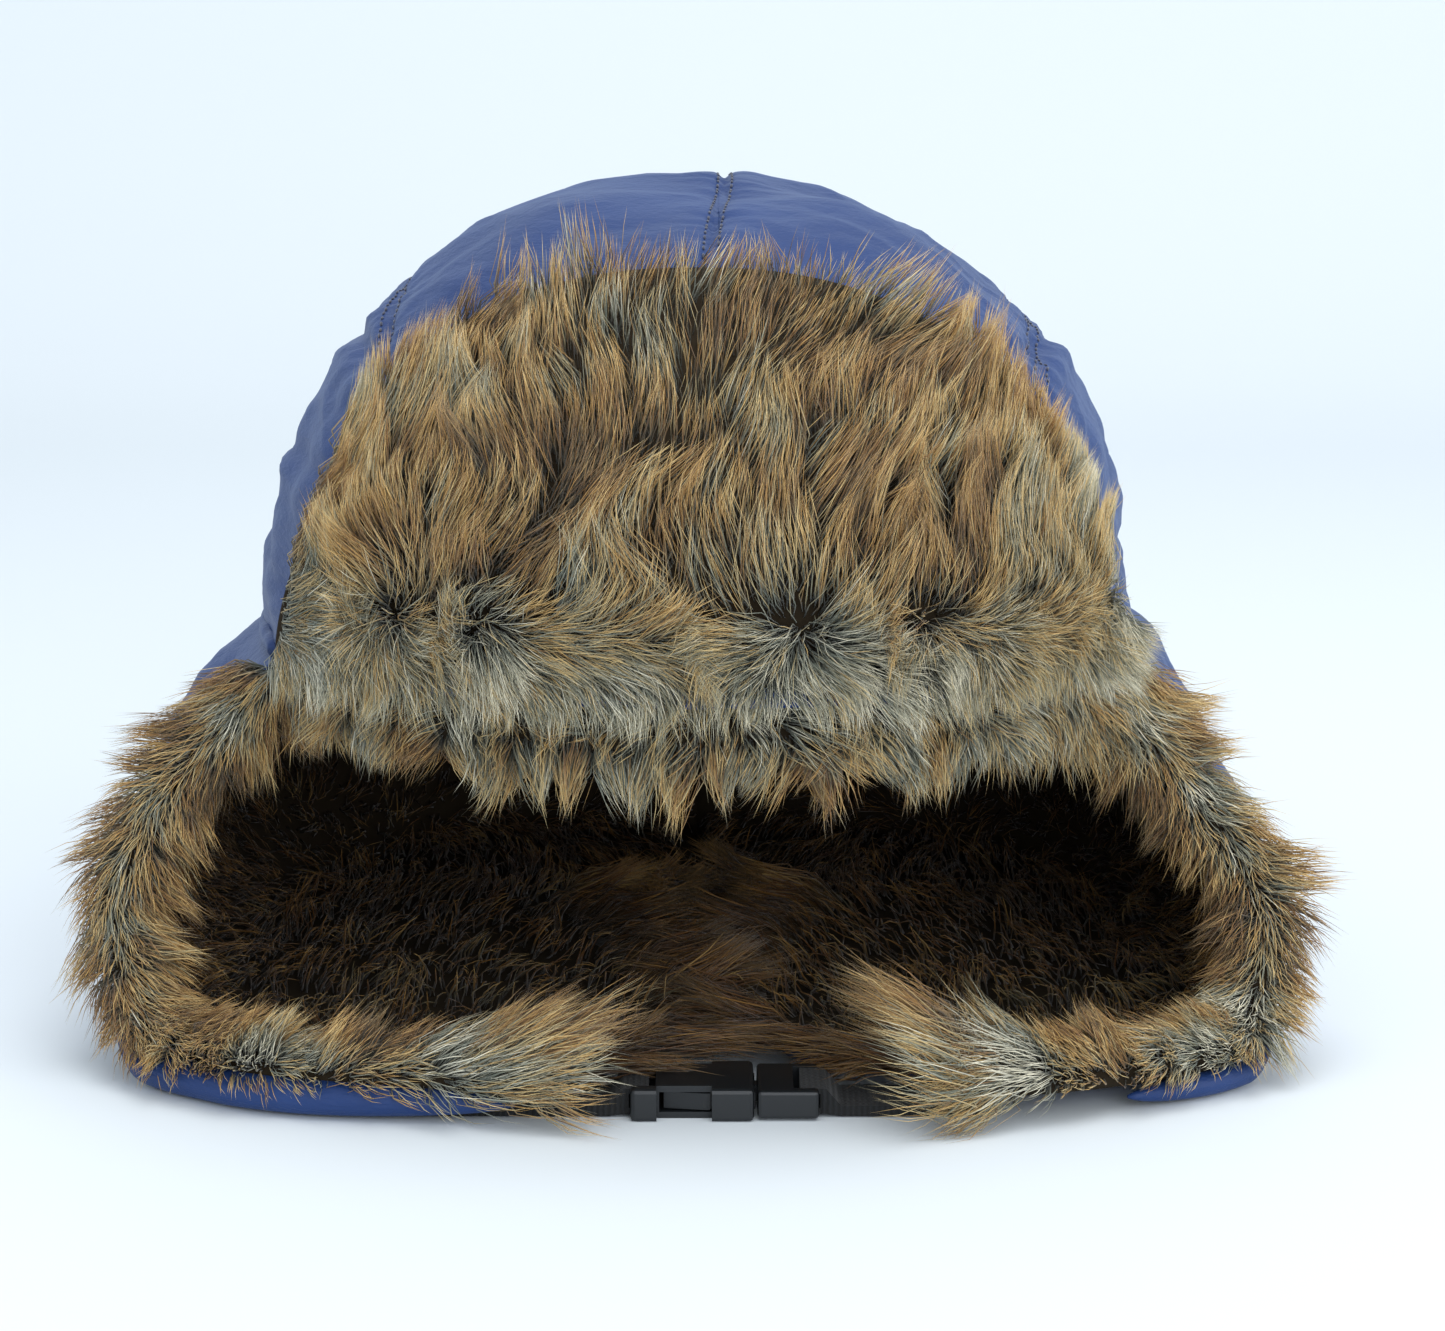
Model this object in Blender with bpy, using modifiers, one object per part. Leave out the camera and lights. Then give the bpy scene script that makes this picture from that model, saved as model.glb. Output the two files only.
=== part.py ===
"""Trapper hat: a quilted nylon crown with a raised fur flap at the front, fur lined ear and neck
flaps that rest on the table, and a chin strap that closes with a side release buckle.

Metres, +Z up. The front of the hat faces -Y. The origin is on the table, under the middle of the hat.
"""

import math

import bmesh
import bpy
from mathutils import Matrix, Vector

MM = 0.001
GAP = 0.4 * MM                      # sewn pieces keep this much air between them
REACH = 0.3                         # half size of a cutter that trims a flat end

# Crown. Its plan is a long half oval to the front and a short one to the back.
CROWN_HALF_WIDTH = 0.106
CROWN_FRONT = 0.128                 # from the crown's middle to its front
CROWN_BACK = 0.106
CROWN_MIDDLE_Y = 0.008
RIM_Z = 0.092                       # lower edge of the crown
CROWN_HEIGHT = 0.105
CROWN_FULLNESS = 2.08               # side view: 2 is an ellipse, and more is a squarer shoulder
PLAN_FULLNESS = 2.4                 # the same for the plan
SIDE_SEAM_X = 0.074                 # the seams between the top and the side panels
NYLON = 1.0 * MM
PADDING = 4.5 * MM
CROWN_PILE = 7.0 * MM
DOME_AROUND = 36
DOME_RINGS = 16

# Ear and neck flaps. The base surface is the inner face of the nylon.
FLAP_PILE = 8.0 * MM
FLAP_BASE_Z = NYLON                 # base surface where the flap lies flat on the table
FLAP_TOP_Z = RIM_Z - 3.0 * MM
CENTRE_SHIFT = -1.4 * MM            # brings the middle of the hat's box over the origin
FLAP_INSET = 1.2 * MM               # keeps the flap's nylon flush with the crown's
EAR_FRONT_Y = -0.048                # ear flap along the rim, front corner
EAR_BACK_Y = 0.045                  # the flat cut between ear flap and neck flap
EAR_BULGE = 5.0 * MM
HEM_BULGE = {-1: 0.020, 1: 0.034}   # how far each flap's hem reaches in, behind the strap
TRIM_RADIUS = 5.5 * MM

# Front flap, standing up before the crown.
FRONT_HALF_WIDTH = 0.096
FRONT_MIDDLE_Y = CROWN_MIDDLE_Y - CROWN_FRONT - 3.0 * MM
FRONT_TURN = math.radians(78)        # half of the arch, as a turn
FRONT_SWEEP = 0.045                 # how far its ends stand behind its middle
FRONT_ROOT_Z = RIM_Z + 6.0 * MM
FRONT_SIDE_HEIGHT = 0.015
FRONT_ARCH_HEIGHT = 0.068
FRONT_ARCH_POWER = 2.35             # 2 is a round arch, and more is a squarer one
FRONT_LEAN = 0.058                  # how far its top leans back
FRONT_NARROWING = 0.10              # share of its width lost from the fold to the free edge
FRONT_PILE = 9.0 * MM

# Rolled fur edge under the crown's rim, over the face.
BROW_RADIUS = 6.5 * MM
BROW_INSET = 7.5 * MM
BROW_REACH_Y = -0.052

# Chin strap and side release buckle for 15 mm webbing, closed.
BUCKLE_Y = -0.116
WEBBING_WIDTH = 15.0 * MM
WEBBING_THICK = 1.2 * MM
BUCKLE_WIDTH = 22.0 * MM
BUCKLE_HEIGHT = 7.5 * MM
BUCKLE_Z = BUCKLE_HEIGHT / 2
FEMALE_LEFT, FEMALE_RIGHT = -14.8 * MM, 12.6 * MM
SOCKET_LEFT = -8.4 * MM
SOCKET_HALF_WIDTH = 8.2 * MM
SOCKET_HEIGHT = 4.6 * MM
WINDOW_LEFT, WINDOW_RIGHT = -9.0 * MM, 3.3 * MM
MALE_LEFT, MALE_RIGHT = 13.4 * MM, 27.0 * MM
MALE_HEIGHT = 6.4 * MM
BAR = 2.4 * MM                      # bar that a strap loop wraps
BAR_HEIGHT = 2.6 * MM
STRAP_TAIL_X = 0.064                # where the strap ends under the flap's tip
STRAP_TAIL_Z = 0.3 * MM
SLOT = 3.2 * MM                     # slot beside it
PLUG_HEIGHT = 3.8 * MM
TONGUE_HALF_WIDTH = 1.6 * MM
TONGUE_TIP = -5.5 * MM
PRONG_TIP = -7.4 * MM
PRONG_ROOT = 12.9 * MM
PRONG_INNER, PRONG_OUTER = 4.6 * MM, 6.9 * MM
BARB_OUTER = 7.8 * MM
BARB_SHOULDER = 2.9 * MM

NAVY = (0.028, 0.042, 0.13)
BROWN = (0.30, 0.19, 0.09)
WADDING = (0.82, 0.82, 0.80)
BLACK = (0.012, 0.012, 0.014)


def collection(name):
    made = bpy.data.collections.new(name)
    bpy.context.scene.collection.children.link(made)
    return made


def material(name, colour, roughness):
    made = bpy.data.materials.new(name)
    made.use_nodes = True
    shader = made.node_tree.nodes["Principled BSDF"]
    shader.inputs["Base Color"].default_value = (*colour, 1.0)
    shader.inputs["Roughness"].default_value = roughness
    shader.inputs["Metallic"].default_value = 0.0
    return made


def add_object(name, data, finish, place=None):
    made = bpy.data.objects.new(name, data)
    (place or HAT).objects.link(made)
    data.materials.append(finish)
    return made


def mesh_object(name, bm, finish, place=None):
    mesh = bpy.data.meshes.new(name)
    bm.to_mesh(mesh)
    bm.free()
    return add_object(name, mesh, finish, place)


def thicken(obj, thickness, outward):
    """Gives an open surface its wall: outward along its normals, or inward."""
    wall = obj.modifiers.new("wall", "SOLIDIFY")
    wall.thickness = thickness
    wall.offset = 1.0 if outward else -1.0
    wall.use_even_offset = False
    obj.data.shade_smooth()
    return obj


def box(name, low, high, finish, place=None):
    """A box between two corners given in metres."""
    bm = bmesh.new()
    size = [high[k] - low[k] for k in range(3)]
    middle = [(high[k] + low[k]) / 2 for k in range(3)]
    bmesh.ops.create_cube(bm, size=1.0, matrix=Matrix.Translation(middle) @ Matrix.Diagonal((*size, 1)))
    return mesh_object(name, bm, finish, place)


def cutter(name, low, high):
    made = box(name, low, high, MOULDED, CUTTERS)
    made.hide_render = True
    made.display_type = "WIRE"
    return made


def combine(target, other, operation):
    step = target.modifiers.new(operation.lower(), "BOOLEAN")
    step.operation = operation
    step.object = other
    step.solver = "EXACT"


def half_space(name, limit, facing):
    """A cutter that takes away everything beyond x = limit, towards facing."""
    near, far = limit, limit + facing * REACH
    low, high = (min(near, far), -REACH, -REACH), (max(near, far), REACH, REACH)
    return cutter(name, low, high)


# ---------------------------------------------------------------- surfaces
def plan_point(turn, inset):
    """Point of the crown's outline, moved in by inset. Turn is 0 at the back and positive to +X."""
    ahead = math.cos(turn)
    reach = (CROWN_BACK if ahead > 0 else CROWN_FRONT) - inset
    side = math.copysign(abs(math.sin(turn)) ** (2 / PLAN_FULLNESS), math.sin(turn))
    ahead = math.copysign(abs(ahead) ** (2 / PLAN_FULLNESS), ahead)
    return Vector(((CROWN_HALF_WIDTH - inset) * side, CROWN_MIDDLE_Y + reach * ahead, 0.0))


def plan_x(y, inset):
    """Half width of the crown's outline at y, with the outline moved in by inset."""
    reach = (CROWN_BACK if y > CROWN_MIDDLE_Y else CROWN_FRONT) - inset
    share = abs(y - CROWN_MIDDLE_Y) / reach
    return (CROWN_HALF_WIDTH - inset) * (1 - share ** PLAN_FULLNESS) ** (1 / PLAN_FULLNESS)


def crown_point(unit, inset):
    """A point of the unit half sphere, carried to the crown's outer surface moved in by inset."""
    rise = max(0.0, min(1.0, unit.z)) ** (2 / CROWN_FULLNESS)
    spread = min(1.0, math.hypot(unit.x, unit.y)) ** (2 / CROWN_FULLNESS)
    middle = Vector((0.0, CROWN_MIDDLE_Y, 0.0))
    point = middle.lerp(plan_point(math.atan2(unit.x, unit.y), inset), spread)
    point.z = RIM_Z + (CROWN_HEIGHT - inset) * rise
    return point


def smooth_through(points, share):
    """Catmull-Rom curve through the points, at a share from 0 to 1 of its length in spans."""
    spans = len(points) - 1
    at = min(max(share, 0.0), 1.0) * spans
    i = min(int(at), spans - 1)
    f = at - i
    b, c = points[i], points[i + 1]
    a = points[i - 1] if i > 0 else b * 2 - c
    d = points[i + 2] if i + 2 <= spans else c * 2 - b
    return 0.5 * (2 * b + (c - a) * f + (2 * a - 5 * b + 4 * c - d) * f * f
                  + (3 * b - a - 3 * c + d) * f ** 3)


# Each ear flap's free front edge, from the rim to the chin tip: distance out, y and z in mm.
# The left flap sags further out than the right. The tip stands up off the table, over the strap's end.
EAR_EDGE = {
    -1: [(97, -48, 89), (109, -54, 77), (125, -63, 60), (134, -73, 38),
         (127, -87, 14), (110, -101, 3), (84, -112, 4.8), (26, -119, 4.8)],
    1: [(97, -48, 89), (104, -53, 77), (117, -62, 60), (131, -73, 38),
        (127, -87, 14), (110, -101, 3), (84, -112, 4.8), (53, -119, 4.8)],
}
# How far the flap stands out from the rim, and its height, at the ear's back cut and at the nape, in mm.
# Heights under FLAP_BASE_Z are raised to it, so those rows lie on the table.
CUT_PROFILE = [
    (0, 89), (16, 75), (26, 56), (29, 35), (22, 14), (0, -2), (-32, -2), (-66, -2),
]
NAPE_PROFILE = [
    (0, 89), (10, 72), (17, 54), (21, 35), (19, 15), (4, -2), (-24, -2), (-58, -2),
]


def ear_point(back, down, side):
    """Ear flap: back runs from its front edge to its back cut, down from the rim to the hem."""
    rim_y = EAR_FRONT_Y + (EAR_BACK_Y - EAR_FRONT_Y) * back
    rows = []
    for i, (edge, cut) in enumerate(zip(EAR_EDGE[side], CUT_PROFILE)):
        front = Vector(edge) * MM
        cut_x = plan_x(EAR_BACK_Y, FLAP_INSET) + cut[0] * MM
        rear = Vector((cut_x, EAR_BACK_Y, cut[1] * MM))
        point = front.lerp(rear, back)
        if i == 0:
            point = Vector((plan_x(rim_y, FLAP_INSET), rim_y, FLAP_TOP_Z))
        elif cut[1] > 10:
            point.x += EAR_BULGE * math.sin(math.pi * back)
        elif i > 5:
            past_strap = min(max((back - 0.1) / 0.9, 0.0), 1.0)
            point.x -= HEM_BULGE[side] * (i - 5) / 2 * math.sin(math.pi * past_strap ** 0.6)
        rows.append(point)
    point = smooth_through(rows, down)
    point.z = max(point.z, FLAP_BASE_Z)
    return Vector((point.x * side, point.y, point.z))


def neck_point(around, down):
    """Neck flap: around runs from -1 at the left cut over the nape to 1 at the right cut."""
    share = (EAR_BACK_Y - CROWN_MIDDLE_Y) / (CROWN_BACK - FLAP_INSET)
    widest = math.acos(share ** (PLAN_FULLNESS / 2))
    rim = plan_point(widest * around, FLAP_INSET)
    out = Vector((math.sin(around * math.pi / 2), math.cos(around * math.pi / 2), 0.0))
    share = around * around
    rows = []
    for nape, cut in zip(NAPE_PROFILE, CUT_PROFILE):
        stand = nape[0] + (cut[0] - nape[0]) * share
        height = nape[1] + (cut[1] - nape[1]) * share
        rows.append(rim + out * stand * MM + Vector((0, 0, height * MM)))
    point = smooth_through(rows, down)
    point.z = max(point.z, FLAP_BASE_Z)
    return point


def front_point(across, up):
    """Front flap: across runs from -1 to 1, up from the fold to the free edge."""
    across = math.sin(across * FRONT_TURN)
    height = FRONT_SIDE_HEIGHT + FRONT_ARCH_HEIGHT * math.sqrt(1 - abs(across) ** FRONT_ARCH_POWER)
    up = max(up, 0.0)
    rise = up * height
    x = across * FRONT_HALF_WIDTH * (1 - FRONT_NARROWING * up ** 1.5)
    sweep = FRONT_SWEEP * abs(x / FRONT_HALF_WIDTH) ** 2.6
    lean = FRONT_LEAN * (rise / (FRONT_SIDE_HEIGHT + FRONT_ARCH_HEIGHT)) ** 2.6
    return Vector((x, FRONT_MIDDLE_Y + sweep + lean, FRONT_ROOT_Z + rise))


def along_normal(surface, a, b, distance):
    """The surface's point at (a, b), moved along its normal."""
    step = 1e-3
    along = surface(a + step, b) - surface(a - step, b)
    across = surface(a, b + step) - surface(a, b - step)
    normal = along.cross(across).normalized()
    return surface(a, b) + normal * distance


def patch(name, surface, a_range, b_range, cells, lift, outward_test, finish):
    """An open sheet over a stretch of a surface, lifted along its normal, facing outward_test."""
    bm = bmesh.new()
    bmesh.ops.create_grid(bm, x_segments=cells[0], y_segments=cells[1], size=1.0)
    sample = along_normal(surface, sum(a_range) / 2, sum(b_range) / 2, 1.0)
    centre = surface(sum(a_range) / 2, sum(b_range) / 2)
    sign = 1.0 if (sample - centre).dot(outward_test) > 0 else -1.0
    for v in bm.verts:
        a = a_range[0] + (a_range[1] - a_range[0]) * (v.co.x + 1) / 2
        b = b_range[0] + (b_range[1] - b_range[0]) * (v.co.y + 1) / 2
        v.co = along_normal(surface, a, b, lift * sign) if lift else surface(a, b)
    bm.normal_update()
    middle = min(bm.faces, key=lambda f: (f.calc_center_median() - centre).length)
    if middle.normal.dot(outward_test) < 0:
        bmesh.ops.reverse_faces(bm, faces=bm.faces[:])
    return mesh_object(name, bm, finish)


# ---------------------------------------------------------------- crown
def dome(inset):
    """The crown's open surface, moved in by inset, as a bmesh."""
    bm = bmesh.new()
    bmesh.ops.create_uvsphere(bm, u_segments=DOME_AROUND, v_segments=DOME_RINGS, radius=1.0)
    below = [v for v in bm.verts if v.co.z < -1e-4]
    bmesh.ops.delete(bm, geom=below, context="VERTS")
    for v in bm.verts:
        v.co = crown_point(v.co, inset)
    return bm


def build_crown():
    """Nylon, wadding and fur lining, each sewn from four panels whose seams run front to back."""
    under_nylon = NYLON + GAP
    under_padding = under_nylon + PADDING + 2 * GAP
    layers = [("panel", 0.0, NYLON, NYLON_FABRIC), ("padding", under_nylon, PADDING, POLYESTER),
              ("lining", under_padding, CROWN_PILE, FUR)]
    seams = [None, -SIDE_SEAM_X, 0.0, SIDE_SEAM_X, None]
    for i, place in enumerate(("side_left", "top_left", "top_right", "side_right")):
        cuts = []
        for limit, facing in ((seams[i], -1), (seams[i + 1], 1)):
            if limit is not None:
                cuts.append(half_space(f"{place}_cut_{facing}", limit - facing * GAP / 2, facing))
        for layer, inset, thickness, finish in layers:
            panel = mesh_object(f"crown_{layer}_{place}", dome(inset), finish)
            thicken(panel, thickness, outward=False)
            for cut in cuts:
                combine(panel, cut, "DIFFERENCE")


# ---------------------------------------------------------------- flaps
def flap_layers(name, surface, cells, outward_test, ends, cuts):
    """The nylon shell and the fur lining of one flap, both trimmed flat by the cutters."""
    for layer, lift, thickness, outward, finish in (
            ("shell", 0.0, NYLON, True, NYLON_FABRIC),
            ("lining", -GAP, FLAP_PILE, False, FUR)):
        sheet = patch(f"{name}_{layer}", surface, ends, (0.0, 1.0), cells, lift, outward_test, finish)
        thicken(sheet, thickness, outward)
        for cut in cuts:
            combine(sheet, cut, "DIFFERENCE")


def build_ear(side, label, behind):
    def surface(back, down):
        return ear_point(back, down, side)

    out = Vector((side, -0.2, 0.2))
    flap_layers(f"ear_flap_{label}", surface, (11, 22), out, (0.0, 1.1), [behind])
    build_trim(side, label)


def tube(name, path, radius, finish):
    """A round roll along a path, with flat ends."""
    data = bpy.data.curves.new(name, "CURVE")
    data.dimensions = "3D"
    data.bevel_depth = radius
    data.bevel_resolution = 2
    data.use_fill_caps = True
    spline = data.splines.new("POLY")
    spline.points.add(len(path) - 1)
    for at, point in zip(spline.points, path):
        at.co = (*point, 1.0)
    add_object(name, data, finish)


def build_trim(side, label):
    """The rolled fur edge that runs down the free front edge of the ear flap."""
    count = 24
    ahead = TRIM_RADIUS + 2.0 * MM
    path = []
    for i in range(count):
        down = 0.04 + 0.92 * i / (count - 1)
        edge = ear_point(0.0, down, side)
        away = (edge - ear_point(0.12, down, side)).normalized()
        point = edge + away * ahead
        point.z = max(point.z, TRIM_RADIUS + 3.2 * MM)
        path.append(point)
    tube(f"ear_flap_trim_{label}", path, TRIM_RADIUS, FUR)


def build_brow():
    """The rolled fur edge that hangs under the front half of the crown's rim."""
    turns = [math.pi + math.radians(t) for t in range(-80, 81, 5)]
    path = [plan_point(turn, BROW_INSET) for turn in turns]
    path = [point for point in path if point.y < BROW_REACH_Y]
    for point in path:
        point.z = RIM_Z - GAP - BROW_RADIUS
    tube("brow_trim", path, BROW_RADIUS, FUR)


def build_neck(ahead):
    """The neck flap, in two halves that meet in a seam down the middle of the back."""
    for side, label in ((-1, "left"), (1, "right")):
        beyond = half_space(f"neck_{label}_cut", side * GAP / 2, -side)
        ends = tuple(sorted((-0.1 * side, 1.08 * side)))
        out = Vector((side, 1.0, 0.0))
        flap_layers(f"neck_flap_{label}", neck_point, (15, 18), out, ends, [ahead, beyond])


def build_front_flap():
    width, height, cells, ahead = (-1.0, 1.0), (0.0, 1.0), (24, 10), Vector((0, -1, 0.2))
    shell = patch("front_flap_shell", front_point, width, height, cells, 0.0, ahead, NYLON_FABRIC)
    thicken(shell, NYLON, outward=False)
    build_front_fur(cells)


def build_front_fur(cells):
    """The pile of the front flap: the flap's own outline, thickened along directions that fan out."""
    bm = bmesh.new()
    bmesh.ops.create_grid(bm, x_segments=cells[0], y_segments=cells[1], size=1.0)
    for v in bm.verts:
        v.co = front_point(v.co.x, (v.co.y + 1) / 2)
    root = bmesh.ops.extrude_face_region(bm, geom=bm.faces[:])["geom"]
    outer = {v for v in root if isinstance(v, bmesh.types.BMVert)}
    for v in bm.verts:
        rise = (v.co.z - FRONT_ROOT_Z) / FRONT_ARCH_HEIGHT
        fan = Vector((0.8 * v.co.x / FRONT_HALF_WIDTH, -1.0, 0.6 * rise)).normalized()
        v.co += fan * (FRONT_PILE if v in outer else GAP)
    bmesh.ops.recalc_face_normals(bm, faces=bm.faces)
    mesh_object("front_flap_fur", bm, FUR).data.shade_smooth()


# ---------------------------------------------------------------- chin strap and buckle
def round_edges(obj, width):
    step = obj.modifiers.new("round", "BEVEL")
    step.width = width
    step.segments = 2
    step.limit_method = "ANGLE"


def outline(name, loops, half_depth, finish, matrix, place=None):
    """A flat outline of closed loops of (x, y) points, thickened by half_depth each way."""
    data = bpy.data.curves.new(name, "CURVE")
    data.dimensions = "2D"
    data.fill_mode = "BOTH"
    data.extrude = half_depth
    for loop in loops:
        spline = data.splines.new("POLY")
        spline.points.add(len(loop) - 1)
        for point, (x, y) in zip(spline.points, loop):
            point.co = (x, y, 0.0, 1.0)
        spline.use_cyclic_u = True
    made = add_object(name, data, finish, place)
    made.matrix_world = matrix
    return made


def build_female():
    half = BUCKLE_WIDTH / 2
    body = box("buckle_female", (FEMALE_LEFT, BUCKLE_Y - half, 0.0),
               (FEMALE_RIGHT, BUCKLE_Y + half, BUCKLE_HEIGHT), MOULDED)
    round_edges(body, 1.0 * MM)
    over = 2.0 * MM
    socket = cutter("socket_cut",
                    (SOCKET_LEFT, BUCKLE_Y - SOCKET_HALF_WIDTH, BUCKLE_Z - SOCKET_HEIGHT / 2),
                    (FEMALE_RIGHT + over, BUCKLE_Y + SOCKET_HALF_WIDTH, BUCKLE_Z + SOCKET_HEIGHT / 2))
    combine(body, socket, "DIFFERENCE")
    scoop = 3.0 * MM
    for front in (-1, 1):
        low_y, high_y = sorted((BUCKLE_Y + front * (half - scoop), BUCKLE_Y + front * (half + over)))
        window = cutter(f"window_cut_{front}", (WINDOW_LEFT, low_y, -over),
                        (WINDOW_RIGHT, high_y, BUCKLE_HEIGHT + over))
        combine(body, window, "DIFFERENCE")
    slot_left = FEMALE_LEFT + BAR
    slot = cutter("female_slot_cut", (slot_left, BUCKLE_Y - WEBBING_WIDTH / 2 - GAP, -over),
                  (slot_left + SLOT, BUCKLE_Y + WEBBING_WIDTH / 2 + GAP, BUCKLE_HEIGHT + over))
    combine(body, slot, "DIFFERENCE")
    thin_bar(body, FEMALE_LEFT - over, slot_left + SLOT)


def build_male():
    half = BUCKLE_WIDTH / 2 - 0.5 * MM
    over = 2.0 * MM
    body = box("buckle_male", (MALE_LEFT, BUCKLE_Y - half, BUCKLE_Z - MALE_HEIGHT / 2),
               (MALE_RIGHT, BUCKLE_Y + half, BUCKLE_Z + MALE_HEIGHT / 2), MOULDED)
    round_edges(body, 0.8 * MM)
    slot_right = MALE_RIGHT - BAR
    slot = cutter("male_slot_cut", (slot_right - SLOT, BUCKLE_Y - WEBBING_WIDTH / 2 - GAP, -over),
                  (slot_right, BUCKLE_Y + WEBBING_WIDTH / 2 + GAP, BUCKLE_HEIGHT + over))
    combine(body, slot, "DIFFERENCE")
    thin_bar(body, slot_right - SLOT, MALE_RIGHT + over)
    tongue = cutter("tongue", (TONGUE_TIP, BUCKLE_Y - TONGUE_HALF_WIDTH, BUCKLE_Z - PLUG_HEIGHT / 2),
                    (MALE_LEFT + over, BUCKLE_Y + TONGUE_HALF_WIDTH, BUCKLE_Z + PLUG_HEIGHT / 2))
    combine(body, tongue, "UNION")


def build_prong(front, name):
    """A sprung prong with its barb, front = -1 or 1 for the side of the buckle it is on."""
    shape = [
        (PRONG_ROOT, PRONG_INNER), (PRONG_TIP + 2 * MM, PRONG_INNER), (PRONG_TIP, PRONG_INNER + 1 * MM),
        (PRONG_TIP, PRONG_OUTER - 0.5 * MM), (BARB_SHOULDER - 1.5 * MM, BARB_OUTER),
        (BARB_SHOULDER, BARB_OUTER), (BARB_SHOULDER, PRONG_OUTER), (PRONG_ROOT, PRONG_OUTER),
    ]
    loop = [(x, y * front) for x, y in shape]
    outline(name, [loop], PLUG_HEIGHT / 2, MOULDED, Matrix.Translation((0, BUCKLE_Y, BUCKLE_Z)))


def build_strap(side, label, bar_near, bar_far):
    """Webbing wrapped round a buckle's bar, whose doubled tail is sewn under the flap's tip."""
    under, over = STRAP_TAIL_Z - BUCKLE_Z, STRAP_TAIL_Z + 2 * WEBBING_THICK - BUCKLE_Z
    hole_half = BAR_HEIGHT / 2 + GAP
    loop_half = hole_half + WEBBING_THICK
    wrapped = bar_far + GAP + WEBBING_THICK
    straight = wrapped + 3.4 * MM
    tip = bar_near - GAP - WEBBING_THICK
    outer = [(STRAP_TAIL_X, under), (straight, under), (wrapped, -loop_half), (tip, -loop_half),
             (tip, loop_half), (wrapped, loop_half), (straight, over), (STRAP_TAIL_X, over)]
    inside = [(bar_far + GAP, -hole_half), (bar_near - GAP, -hole_half),
              (bar_near - GAP, hole_half), (bar_far + GAP, hole_half)]
    upright = Matrix.Translation((0, BUCKLE_Y, BUCKLE_Z)) @ Matrix.Rotation(math.pi / 2, 4, "X")
    loops = [[(x * side, z) for x, z in loop] for loop in (outer, inside)]
    outline(f"chin_strap_{label}", loops, WEBBING_WIDTH / 2, WEBBING, upright)


def thin_bar(body, x_low, x_high):
    """Clears the webbing's room above and below a buckle's bar."""
    over = 2.0 * MM
    half_y = WEBBING_WIDTH / 2 + GAP
    for up in (-1, 1):
        low_z, high_z = sorted((BUCKLE_Z + up * BAR_HEIGHT / 2, BUCKLE_Z + up * (BUCKLE_HEIGHT + over)))
        room = cutter(f"{body.name}_bar_cut_{up}", (x_low, BUCKLE_Y - half_y, low_z),
                      (x_high, BUCKLE_Y + half_y, high_z))
        combine(body, room, "DIFFERENCE")


def main():
    build_crown()
    build_front_flap()
    build_brow()
    low, high = (-REACH, -REACH, -REACH), (REACH, REACH, REACH)
    build_neck(cutter("ahead_of_cut", low, (REACH, EAR_BACK_Y + GAP / 2, REACH)))
    behind = cutter("behind_cut", (-REACH, EAR_BACK_Y - GAP / 2, -REACH), high)
    for side, label in ((-1, "left"), (1, "right")):
        build_ear(side, label, behind)
    build_female()
    build_male()
    build_prong(-1, "prong_front")
    build_prong(1, "prong_back")
    build_strap(-1, "left", -FEMALE_LEFT - BAR, -FEMALE_LEFT)
    build_strap(1, "right", MALE_RIGHT - BAR, MALE_RIGHT)
    for piece in [*HAT.objects, *CUTTERS.objects]:
        piece.location.y += CENTRE_SHIFT


for old in list(bpy.data.objects):
    bpy.data.objects.remove(old, do_unlink=True)
HAT = collection("trapper_hat")
CUTTERS = collection("cutters")
NYLON_FABRIC = material("navy_nylon", NAVY, 0.55)
FUR = material("faux_fur", BROWN, 0.9)
POLYESTER = material("polyester_wadding", WADDING, 0.95)
WEBBING = material("black_webbing", BLACK, 0.8)
MOULDED = material("black_acetal", BLACK, 0.35)
main()
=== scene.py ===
"""Trapper hat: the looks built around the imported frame. Metres, +Z up, the face opening looks along -Y."""

import math

import bmesh
import bpy
import numpy as np
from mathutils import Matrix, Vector


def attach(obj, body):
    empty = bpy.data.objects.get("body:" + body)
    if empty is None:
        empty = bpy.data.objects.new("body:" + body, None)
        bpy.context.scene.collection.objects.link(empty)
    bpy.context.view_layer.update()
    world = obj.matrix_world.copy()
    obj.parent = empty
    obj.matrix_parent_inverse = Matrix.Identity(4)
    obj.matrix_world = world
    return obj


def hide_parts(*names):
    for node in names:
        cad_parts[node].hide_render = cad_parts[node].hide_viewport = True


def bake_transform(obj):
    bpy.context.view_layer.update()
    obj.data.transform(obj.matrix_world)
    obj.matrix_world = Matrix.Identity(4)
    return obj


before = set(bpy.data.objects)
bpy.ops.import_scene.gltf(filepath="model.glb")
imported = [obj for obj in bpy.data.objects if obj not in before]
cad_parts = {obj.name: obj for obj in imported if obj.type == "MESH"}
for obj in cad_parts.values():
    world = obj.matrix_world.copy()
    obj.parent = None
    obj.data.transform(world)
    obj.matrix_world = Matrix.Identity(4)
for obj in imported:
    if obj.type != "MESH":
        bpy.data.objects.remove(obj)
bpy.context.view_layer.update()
MM = 0.001


# ---- Setting: a white table in soft daylight -------------------------------------------------
# A matt white table runs back and rises into a white wall. A broad soft light hangs ahead and
# above, with weaker ones in front and on the right.
def linear(hex_colour):
    channels = [int(hex_colour[i:i + 2], 16) / 255 for i in (1, 3, 5)]
    return [c / 12.92 if c <= 0.04045 else ((c + 0.055) / 1.055) ** 2.4 for c in channels] + [1.0]


def node(material, kind, inputs=None, **settings):
    """Adds a shader node: a value sets an input socket, and an output socket links to it."""
    tree = material.node_tree
    made = tree.nodes.new(kind)
    for key, value in settings.items():
        setattr(made, key, value)
    for key, value in (inputs or {}).items():
        if isinstance(value, bpy.types.NodeSocket):
            tree.links.new(value, made.inputs[key])
        else:
            made.inputs[key].default_value = value
    return made


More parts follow.
